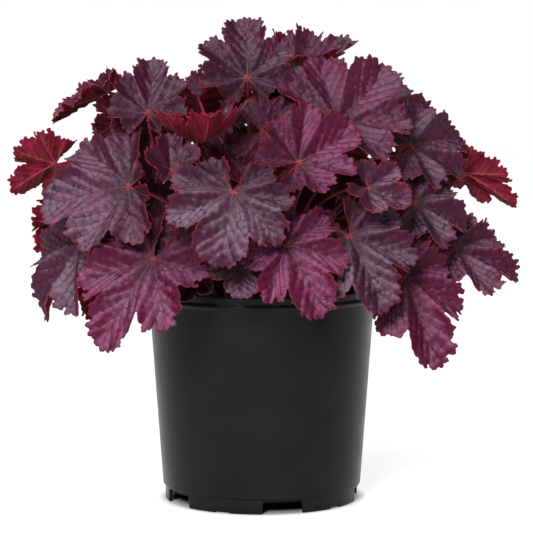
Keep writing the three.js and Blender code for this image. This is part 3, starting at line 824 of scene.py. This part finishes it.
def make_pot(material):
    outer = FOOT_RADIUS - FOOT_INSET
    inner = outer - POT_WALL - 1
    floor_top = FOOT_HEIGHT + POT_FLOOR
    bead = POT_RIM_RADIUS - 0.6 + BEAD_RADIUS
    shoulder = [(outer, FOOT_HEIGHT - 2.5), (outer, FOOT_HEIGHT - 0.9), (FOOT_RADIUS, FOOT_HEIGHT + 0.1)]
    wall = [(wall_radius(height), height) for height in (40, 100, 150)]
    lip = [
        (POT_RIM_RADIUS - 1, BEAD_HEIGHT - 2 * BEAD_RADIUS),
        (bead, BEAD_HEIGHT - BEAD_RADIUS * 0.8),
        (bead, BEAD_HEIGHT + BEAD_RADIUS * 0.6),
        (POT_RIM_RADIUS - 0.5, BEAD_HEIGHT + 1.5 * BEAD_RADIUS),
        (POT_RIM_RADIUS, POT_HEIGHT - 2),
        (POT_RIM_RADIUS, POT_HEIGHT),
        (POT_RIM_RADIUS - POT_WALL, POT_HEIGHT),
    ]
    within = [(wall_radius(floor_top) - POT_WALL, floor_top), (0, floor_top)]
    bends = [0.4, 0.5, 1, 1, 1, 1.6, 0.9, 0.9, 1, 0.6, 0.7, 0.7, 3]
    upper = rounded([*shoulder, *wall, *lip, *within], bends)

    def rows(angle):
        low = foot_bottom(math.degrees(angle))
        side = [(0, FOOT_HEIGHT), (inner - 1.5, FOOT_HEIGHT), (inner, FOOT_HEIGHT - 1.2)]
        ring = [(inner, low + 0.5), (inner + 0.4, low), (outer - 0.8, low), (outer, low + 0.7)]
        return [*side, *ring, *upper]

    pot = revolved("nursery_pot", rows, pot_angles(), [material])
    cut_drains(pot, floor_top)
    return pot


def cut_drains(pot, floor_top):
    """The drain holes through the pot's floor."""
    places = [(0, 0)]
    for i in range(NOTCH_COUNT):
        a = math.radians(NOTCH_FIRST - 90 + i * 360 / NOTCH_COUNT)
        places.append((DRAIN_RING * math.cos(a), DRAIN_RING * math.sin(a)))
    for x, y in places:
        bpy.ops.mesh.primitive_cylinder_add(
            vertices=24,
            radius=DRAIN_RADIUS * MM,
            depth=20 * MM,
            location=(x * MM, y * MM, floor_top * MM),
        )
        drill = bpy.context.object
        cut = pot.modifiers.new("drain", "BOOLEAN")
        cut.object = drill
        cut.solver = "EXACT"
        bpy.context.view_layer.objects.active = pot
        bpy.ops.object.modifier_apply(modifier=cut.name)
        bpy.data.objects.remove(drill)


def grain(points, seed, sizes):
    """Smooth repeatable noise over flat points: a few crossing waves for each size in mm."""
    rng = np.random.RandomState(seed)
    total = np.zeros(len(points))
    for size, amount in sizes:
        for _ in range(5):
            angle, phase = rng.uniform(0, FULL_TURN, 2)
            wave = points[:, 0] * math.cos(angle) + points[:, 1] * math.sin(angle)
            total += amount / 5 * np.sin(wave * FULL_TURN / (size * rng.uniform(0.7, 1.3)) + phase)
    return total


def ring(radius, height, turns):
    turn = np.linspace(0, FULL_TURN, turns, endpoint=False)
    return np.column_stack([radius * np.cos(turn), radius * np.sin(turn), np.full(turns, height)])


def disc_grid(inner, outer, rings, turns):
    """Flat points in rings from the inner radius to the outer one."""
    return np.concatenate([ring(radius, 0, turns)[:, :2] for radius in np.linspace(inner, outer, rings)])


def ring_faces(rings, turns, first=0):
    """Triangles between rings of points, the first of which starts at first."""
    faces = []
    for i in range(rings - 1):
        for k in range(turns):
            a, b = first + i * turns + k, first + i * turns + (k + 1) % turns
            faces += [(a, a + turns, b), (b, a + turns, b + turns)]
    return faces


def fan(middle, first, turns, step=1):
    """Triangles from a point to the ring that starts at first. A step of -1 turns them over."""
    return [(middle, *((first + k, first + (k + 1) % turns)[::step])) for k in range(turns)]


def mix_wall(height):
    return wall_radius(height) - POT_WALL - 2 * GAP - 0.2


def make_mix(material):
    """The potting mix: one closed body with a lumpy top, and shreds of bark lying in it."""
    turns, rings = 220, 44
    seat = CROWN_RADIUS + GAP
    seat_floor = MIX_CREST - CROWN_DEPTH - GAP
    floor = FOOT_HEIGHT + POT_FLOOR + GAP
    flat = disc_grid(seat, mix_wall(MIX_TOP), rings, turns)
    share = (np.hypot(flat[:, 0], flat[:, 1]) - seat) / (mix_wall(MIX_TOP) - seat)
    height = MIX_CREST + (MIX_TOP - MIX_CREST) * share
    height += grain(flat, 5, [(24, 1.4), (9, 1.2), (4, 1.0)]) * smoothstep(0, 0.08, share)
    height += np.random.RandomState(8).uniform(-0.5, 0.5, len(height)) - 1.5 * smoothstep(0.9, 1, share)
    top = np.column_stack([flat, height])
    well, wall = ring(seat, seat_floor, turns), ring(mix_wall(floor), floor, turns)
    points = [np.concatenate([well, top, wall, [[0, 0, seat_floor], [0, 0, floor]]])]
    count = len(points[0])
    faces = ring_faces(rings + 2, turns)
    faces += fan(count - 2, 0, turns) + fan(count - 1, (rings + 1) * turns, turns, -1)
    faces = [np.array(faces)]
    for chip_points, chip_faces in bark_chips(flat, height):
        points.append(chip_points)
        faces.append(chip_faces + count)
        count += len(chip_points)
    piece = make_mesh("bark_mix", np.concatenate(points), np.concatenate(faces), [material])
    rng = np.random.RandomState(12)
    tone = [np.full(len(points[0]), 0.35)]
    tone += [np.full(len(chip), rng.uniform(0, 1)) for chip in points[1:]]
    add_fact(piece, "tone", np.concatenate(tone))
    return piece


def bark_chips(flat, height):
    """Small split pieces of bark, each a squashed and roughened ball on the mix."""
    rng = np.random.RandomState(21)
    ball, ball_faces = ball_mesh(6, 8)
    for _ in range(BARK_CHIPS):
        radius = math.sqrt(rng.uniform((CROWN_RADIUS + 3) ** 2, (mix_wall(MIX_TOP) - 4) ** 2))
        a = rng.uniform(0, FULL_TURN)
        at = np.array([radius * math.cos(a), radius * math.sin(a)])
        near = np.argmin(((flat - at) ** 2).sum(1))
        size = np.array([rng.uniform(2.4, 6), rng.uniform(1.2, 2.6), rng.uniform(0.7, 1.4)])
        shape = np.sign(ball) * np.abs(ball) ** 0.6 * size
        shape *= 1 + rng.uniform(-0.16, 0.16, (len(ball), 1))
        spin = np.array(Matrix.Rotation(rng.uniform(0, FULL_TURN), 3, "Z"))
        tilt = np.array(Matrix.Rotation(rng.uniform(-0.35, 0.35), 3, "Y"))
        yield shape @ tilt.T @ spin.T + [*at, height[near] + rng.uniform(-0.2, 0.7)], ball_faces


def ball_mesh(rings, turns):
    points = [[[0, 0, 1]]]
    points += [ring(math.sin(a), math.cos(a), turns) for a in np.linspace(0, math.pi, rings + 1)[1:-1]]
    points = np.concatenate([*points, [[0, 0, -1]]])
    last = len(points) - 1
    faces = fan(0, 1, turns) + fan(last, last - turns, turns, -1) + ring_faces(rings - 1, turns, 1)
    return points, np.array(faces)


def make_crown(material, stands):
    """The crown: a knobbly dome with a collar of leaf bases round each petiole."""
    turns, rings = 200, 60
    flat = disc_grid(0, CROWN_RADIUS - 0.2, rings, turns)
    radius = np.hypot(flat[:, 0], flat[:, 1])
    height = crown_height(radius) - 0.6 + grain(flat, 3, [(14, 0.5), (6, 0.4)])
    gap = np.sqrt(((flat[:, None] - np.array(stands)[None]) ** 2).sum(2)).min(1)
    height += 2.6 * np.exp(-((gap / 2.6) ** 2)) - 0.9
    height = np.where(radius > CROWN_RADIUS - 1.5, MIX_CREST - 1, height)
    bottom = MIX_CREST - CROWN_DEPTH
    low = ring(CROWN_RADIUS - 0.2, bottom, turns)
    points = np.concatenate([np.column_stack([flat, height]), low, [[0, 0, bottom]]])
    faces = ring_faces(rings + 1, turns) + fan(len(points) - 1, rings * turns, turns, -1)
    points, faces = merged(points, np.array(faces))
    return make_mesh("crown_stems", points, faces, [material])


# ---- materials ----


class Nodes:
    """A node tree under construction, with short calls for the nodes it uses."""

    def __init__(self, tree):
        self.nodes, self.links = tree.nodes, tree.links

    def put(self, socket, value):
        if isinstance(value, bpy.types.NodeSocket):
            self.links.new(value, socket)
        elif isinstance(value, tuple) and socket.type == "RGBA":
            socket.default_value = (*value, 1)
        else:
            socket.default_value = value

    def node(self, kind, inputs, output=0, **settings):
        """One output of a new node with these settings and inputs."""
        node = self.nodes.new("ShaderNode" + kind)
        for name, value in settings.items():
            setattr(node, name, value)
        for name, value in inputs.items():
            self.put(node.inputs[name], value)
        return node.outputs[output]

    def fact(self, name, output="Fac"):
        return self.node("Attribute", {}, output, attribute_name=name)

    def place(self):
        return self.node("TexCoord", {}, "Object")

    def times(self, a, b):
        return self.node("Math", {0: a, 1: b}, operation="MULTIPLY")

    def plus(self, a, b, clamp=False):
        return self.node("Math", {0: a, 1: b}, operation="ADD", use_clamp=clamp)

    def ramp(self, value, low, high, to_low=0.0, to_high=1.0):
        """A smooth step of a value between two limits."""
        inputs = dict(enumerate((value, low, high, to_low, to_high)))
        return self.node("MapRange", inputs, interpolation_type="SMOOTHSTEP")

    def mix(self, share, a, b):
        return self.node("Mix", {0: share, 6: a, 7: b}, 2, data_type="RGBA")

    def noise(self, where, scale, detail=3.0, roughness=0.5):
        inputs = {"Vector": where, "Scale": scale, "Detail": detail, "Roughness": roughness}
        return self.node("TexNoise", inputs)

    def cells(self, where, scale):
        return self.node("TexVoronoi", {"Vector": where, "Scale": scale}, feature="DISTANCE_TO_EDGE")

    def bump(self, height, strength, distance):
        return self.node("Bump", {"Height": height, "Strength": strength, "Distance": distance})


class Shader(Nodes):
    """A material with one principled surface."""

    def __init__(self, name):
        self.material = bpy.data.materials.new(name)
        self.material.use_nodes = True
        super().__init__(self.material.node_tree)

    def surface(self, **values):
        """Fills the surface's inputs, which are named in small letters."""
        sockets = self.nodes["Principled BSDF"].inputs
        by_name = {socket.name.lower().replace(" ", "_"): socket for socket in sockets}
        for name, value in values.items():
            self.put(by_name[name], value)
        return self.material

    def shaded(self, colour, least=0.1):
        """A leaf's colour with painted shade, darker deeper inside the plant."""
        return self.mix(self.ramp(self.fact("open"), 0.66, 0.92, least, 1.0), SHADE, colour)


# painted shade, mixed in deeper inside the plant
SHADE = (0.034, 0.0012, 0.006)
# the silvery upper side where painted light falls, the same in painted shade where it turns from that light,
# and in painted shade in its creases
DUSKY, DUSKY_PAINTED_SHADE, DUSKY_CREASE_SHADE = (0.119, 0.075, 0.106), (0.036, 0.006, 0.017), (0.012, 0.0015, 0.005)
MAGENTA, MAGENTA_PAINTED_SHADE, MAGENTA_CREASE_SHADE = (0.165, 0.041, 0.096), (0.074, 0.0025, 0.021), (0.022, 0.0006, 0.005)
MARGIN_GLOW = (0.10, 0.003, 0.018)
CRIMSON = (0.17, 0.002, 0.016)
CORAL = (0.26, 0.026, 0.024)
VEIN_BROWN = (0.130, 0.050, 0.036)
VEIN_DARK = (0.026, 0.006, 0.010)
UNDER, UNDER_DEEP, UNDER_NET = (0.115, 0.0014, 0.017), (0.060, 0.0004, 0.004), (0.10, 0.001, 0.006)
UNDER_VEIN = (0.220, 0.036, 0.048)
MARGIN_DARK, MARGIN_RED = (0.035, 0.002, 0.008), (0.20, 0.003, 0.015)
PETIOLE_DARK, PETIOLE_RED, PETIOLE_STREAK = (0.070, 0.001, 0.009), (0.20, 0.003, 0.024), (0.24, 0.022, 0.045)
PLASTIC_DARK, PLASTIC_LIGHT = (0.0050, 0.0052, 0.0060), (0.0070, 0.0073, 0.0082)
BARK_DARK, BARK_LIGHT = (0.010, 0.005, 0.003), (0.075, 0.036, 0.021)
CROWN_DARK, CROWN_LIGHT = (0.030, 0.010, 0.008), (0.14, 0.028, 0.026)
WHITE = (1.0, 1.0, 1.0)
SHEEN_TINT = (0.92, 0.76, 1.0)
BLOOD_REACH = (1.0, 0.03, 0.12)  # how far red, green and blue light goes in the blade, as shares


def upper_colour(s, plane, out_of_painted_shade):
    """The blade's colour between its veins: silvery with painted light on domes that face the light, dark
    red as painted shade elsewhere and in the creases.
    """
    blotch = s.ramp(s.noise(plane, 0.045, 2.0), 0.35, 0.65, -0.15, 0.2)
    wash = s.plus(s.ramp(s.fact("flush"), 0.15, 1.0), blotch, clamp=True)
    # painted light and shade: the lit copy where the upper side faces the fixed light, the painted-shade
    # copy where it turns away
    lit = s.ramp(s.fact("lit"), 0.58, 1.0)
    base = s.mix(lit, s.mix(wash, DUSKY_PAINTED_SHADE, MAGENTA_PAINTED_SHADE), s.mix(wash, DUSKY, MAGENTA))
    return s.mix(out_of_painted_shade, s.mix(wash, DUSKY_CREASE_SHADE, MAGENTA_CREASE_SHADE), base)


def upper_side():
    s = Shader("leaf_upper")
    plane, share, edge = s.fact("plane", "Vector"), s.fact("share"), s.fact("edge")
    main, side = s.fact("main_vein"), s.fact("side_vein")
    fine = s.noise(plane, 0.35, 4.0, 0.6)
    # painted shade in the creases, by a depth that the noise varies; darker also near the joint and the main
    # veins
    sunk = s.ramp(s.noise(plane, 0.07, 2.0), 0.35, 0.65, 0.2, 0.75)
    out_of_painted_shade = s.times(s.ramp(s.fact("pucker"), 0.0, 0.5, sunk, 1.0), s.ramp(fine, 0.25, 0.7, 0.75, 1.0))
    out_of_painted_shade = s.times(out_of_painted_shade, s.ramp(share, 0.0, 0.5, 0.3, 1.0))
    # painted shade: the basal side, away from the tip, darker and the tip side lighter, as the light falls
    out_of_painted_shade = s.times(out_of_painted_shade, s.ramp(s.fact("tipward"), -0.6, 0.7, 0.48, 1.15))
    out_of_painted_shade = s.times(out_of_painted_shade, s.ramp(main, 1.0, 5.0, 0.65, 1.0))
    colour = upper_colour(s, plane, out_of_painted_shade)
    side_line = s.times(s.ramp(side, 0.5, 1.9, 0.65, 0.0), s.ramp(share, 0.1, 0.4))
    colour = s.mix(side_line, colour, VEIN_DARK)
    vein = s.mix(s.ramp(share, 0.01, 0.08), CORAL, VEIN_BROWN)
    vein = s.mix(s.ramp(share, 0.25, 0.5), vein, VEIN_DARK)
    main_line = s.times(s.ramp(main, 0.5, 1.5, 1.0, 0.0), s.ramp(share, 0.1, 0.8, 0.95, 0.6))
    colour = s.mix(main_line, colour, vein)
    colour = s.mix(s.ramp(share, 0.005, 0.02, 0.8, 0.0), colour, CORAL)
    colour = s.mix(s.ramp(edge, 0.2, 2.4, 0.25, 0.0), colour, MARGIN_GLOW)
    fleck = s.ramp(s.noise(plane, 0.11, 2.0), 0.4, 0.55, 0.1, 1.0)
    colour = s.mix(s.times(s.ramp(edge, 0.05, 0.4, 0.8, 0.0), fleck), colour, CRIMSON)
    relief = s.plus(s.ramp(s.cells(plane, 0.55), 0.0, 0.25), s.times(fine, 0.6))
    s.surface(base_color=s.shaded(colour), roughness=s.ramp(out_of_painted_shade, 0.0, 1.0, 0.7, 0.5))
    s.surface(specular_ior_level=0.2, specular_tint=SHEEN_TINT, normal=s.bump(relief, 0.2, 0.0005))
    return s.surface(subsurface_weight=0.15, subsurface_radius=BLOOD_REACH, subsurface_scale=0.0015)


def lower_side():
    s = Shader("leaf_lower")
    plane, share, edge = s.fact("plane", "Vector"), s.fact("share"), s.fact("edge")
    colour = s.mix(s.ramp(s.noise(plane, 0.09), 0.35, 0.65), UNDER_DEEP, UNDER)
    colour = s.mix(s.ramp(s.fact("pucker"), 0.0, 0.6, 0.25, 0.0), colour, UNDER_NET)
    colour = s.mix(s.ramp(s.fact("side_vein"), 0.5, 2.2, 0.25, 0.0), colour, UNDER_VEIN)
    colour = s.mix(s.ramp(s.fact("main_vein"), 0.8, 2.4, 0.8, 0.0), colour, UNDER_VEIN)
    colour = s.mix(s.ramp(edge, 0.3, 1.2, 0.6, 0.0), colour, CRIMSON)
    s.surface(base_color=s.shaded(colour), roughness=s.ramp(share, 0.0, 1.0, 0.6, 0.7))
    return s.surface(specular_ior_level=0.12, normal=s.bump(s.noise(plane, 0.6, 4.0, 0.6), 0.3, 0.0006))


def leaf_margin():
    s = Shader("leaf_margin")
    fleck = s.ramp(s.noise(s.fact("plane", "Vector"), 0.11, 2.0), 0.4, 0.55)
    return s.surface(base_color=s.shaded(s.mix(fleck, MARGIN_DARK, MARGIN_RED)), roughness=0.5)


def petiole_skin():
    s = Shader("petiole")
    streak = s.noise(s.place(), 260, 3.0, 0.6)
    colour = s.mix(s.ramp(s.noise(s.place(), 30, 2.0), 0.35, 0.65), PETIOLE_DARK, PETIOLE_RED)
    colour = s.mix(s.ramp(streak, 0.5, 0.8, 0.0, 0.3), colour, PETIOLE_STREAK)
    s.surface(base_color=s.shaded(colour, 0.4), roughness=0.45, specular_ior_level=0.2)
    return s.surface(normal=s.bump(streak, 0.25, 0.0004))


def pot_plastic():
    s = Shader("pot_plastic")
    cloud = s.noise(s.place(), 22, 4.0, 0.6)
    base = s.mix(s.ramp(cloud, 0.35, 0.7), PLASTIC_DARK, PLASTIC_LIGHT)
    s.surface(base_color=base, roughness=s.ramp(cloud, 0.3, 0.7, 0.27, 0.35), specular_ior_level=0.105)
    return s.surface(normal=s.bump(s.noise(s.place(), 900, 2.0, 0.7), 0.12, 0.0003))


def bark():
    s = Shader("bark")
    lump = s.noise(s.place(), 350, 5.0, 0.7)
    tone = s.plus(s.fact("tone"), s.ramp(lump, 0.3, 0.7, -0.35, 0.35), clamp=True)
    s.surface(base_color=s.mix(tone, BARK_DARK, BARK_LIGHT), roughness=0.9)
    return s.surface(normal=s.bump(lump, 0.8, 0.0012))


def crown_bark():
    s = Shader("crown_bark")
    lump = s.noise(s.place(), 180, 5.0, 0.7)
    s.surface(base_color=s.mix(s.ramp(lump, 0.35, 0.65), CROWN_DARK, CROWN_LIGHT), roughness=0.8)
    return s.surface(normal=s.bump(lump, 0.7, 0.001))


# ---- stage, light and camera ----


def make_stage():
    """A white floor, which glows but for a patch under the pot that can hold its shadow."""
    s = Shader("stage_floor")
    away = s.node("VectorMath", {0: s.place()}, "Value", operation="LENGTH")
    s.surface(base_color=(0.35, 0.35, 0.35), roughness=0.9, specular_ior_level=0.1)
    s.surface(emission_color=WHITE, emission_strength=s.ramp(away, 0.070, 0.088, 0.0, 0.86))
    half = 6000
    corners = [(-half, -half, 0), (half, -half, 0), (half, half, 0), (-half, half, 0)]
    floor = make_mesh("stage_floor", corners, [(0, 1, 2), (0, 2, 3)], [s.material])


def add_light(name, kind, energy, **settings):
    data = bpy.data.lights.new(name, kind)
    data.energy = energy
    for setting, value in settings.items():
        setattr(data, setting, value)
    light = bpy.data.objects.new(name, data)
    bpy.context.scene.collection.objects.link(light)
    return light


def area_light(name, at, target, size, energy):
    light = add_light(name, "AREA", energy, shape="DISK", size=size)
    light.location = at
    light.rotation_euler = (Vector(target) - Vector(at)).to_track_quat("-Z", "Y").to_euler()


def make_lights():
    area_light("key", (-0.55, -2.1, 1.3), (0, 0, 0.22), 0.8, 80)
    area_light("side", (2.1, 0.1, 1.2), (0, 0, 0.2), 1.0, 11)
    sun = add_light("overhead", "SUN", 1.1, angle=math.radians(30))
    sun.rotation_euler = (math.radians(16), math.radians(-20), 0)
    world = bpy.data.worlds.new("studio")
    bpy.context.scene.world = world
    world.use_nodes = True
    s = Nodes(world.node_tree)
    # the surround is brighter behind than in front, and plain white to the camera
    depth = s.node("SeparateXYZ", {0: s.node("TexCoord", {}, "Generated")}, "Y")
    glow = s.node("Background", {"Color": WHITE, "Strength": s.ramp(depth, -0.7, 0.8, 0.012, 0.10)})
    seen = s.node("Background", {"Color": WHITE})
    to_camera = s.node("LightPath", {}, "Is Camera Ray")
    blend = s.node("MixShader", {0: to_camera, 1: glow, 2: seen})
    s.nodes.remove(s.nodes["Background"])
    s.put(s.nodes["World Output"].inputs["Surface"], blend)


def make_camera():
    """The photograph's viewpoint, for a square frame of 533 pixels."""
    frame_pixels = 533
    focal_pixels = 2381
    distance, height, pitch = 1.9, 0.37, 5.52
    axis_left_of_middle = 4.8  # pixels from the frame's middle to the pot's axis
    data = bpy.data.cameras.new("camera")
    data.sensor_width = 36
    data.lens = data.sensor_width * focal_pixels / frame_pixels
    data.clip_end = 50
    camera = bpy.data.objects.new("camera", data)
    camera.location = (axis_left_of_middle * distance / focal_pixels, -distance, height)
    camera.rotation_euler = (math.radians(90 - pitch), 0, 0)
    bpy.context.scene.collection.objects.link(camera)
    bpy.context.scene.camera = camera


# ---- the plant ----

make_camera()
make_lights()
make_stage()
bpy.context.scene.view_settings.view_transform = "Standard"

leaf_materials = [upper_side(), lower_side(), leaf_margin(), petiole_skin()]
leaves = [Leaf(i + 1, row) for i, row in enumerate([*LEAVES, *back_rows(), *INNER_LEAVES])]
free_sites = crown_sites()
for leaf in leaves:
    make_leaf(leaf, free_sites, leaf_materials)

taken_sites = [site for site in crown_sites() if site not in free_sites]
dress(make_crown(crown_bark(), taken_sites), "crown")
dress(make_mix(bark()), "potting_mix")
dress(make_pot(pot_plastic()), "pot")
